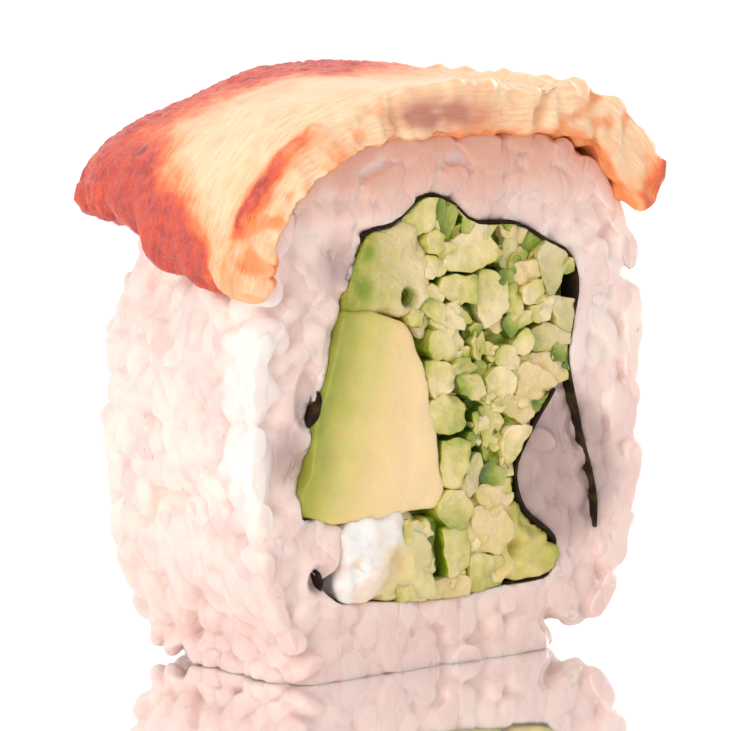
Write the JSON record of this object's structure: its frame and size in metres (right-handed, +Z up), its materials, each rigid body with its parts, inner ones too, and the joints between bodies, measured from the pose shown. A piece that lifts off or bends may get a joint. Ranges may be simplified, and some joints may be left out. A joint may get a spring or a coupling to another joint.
{
  "type": "uramaki roll",
  "caption": "Cut piece of an inside-out sushi roll: rice around nori, avocado, cucumber and cream cheese, with a slice of grilled eel draped over the top.",
  "frame": {"origin": "middle of the flat spot of rice that the roll stands on", "axes": "+Z up, +Y along the roll from the open cut face seen in front to the far cut face, +X to the right as seen from the front"},
  "size_m": [0.0482, 0.0263, 0.0504],
  "materials": {
    "rice": "moist cooked rice, translucent white",
    "nori": "damp dried seaweed, almost black green",
    "avocado": "ripe flesh, green at the rim and cream inside",
    "cream_cheese": "soft white cheese, satin",
    "cucumber": "wet translucent pale green, dark green skin",
    "eel": "grilled fish, cream inside with a red-brown glazed edge"
  },
  "bodies": {
    "root": {"rice": "rice", "nori": "nori", "avocado_slice": "avocado", "avocado_tip": "avocado", "avocado_corner": "avocado", "cream_cheese": "cream_cheese", "cucumber": "cucumber", "eel": "eel"}
  },
  "joints": []
}
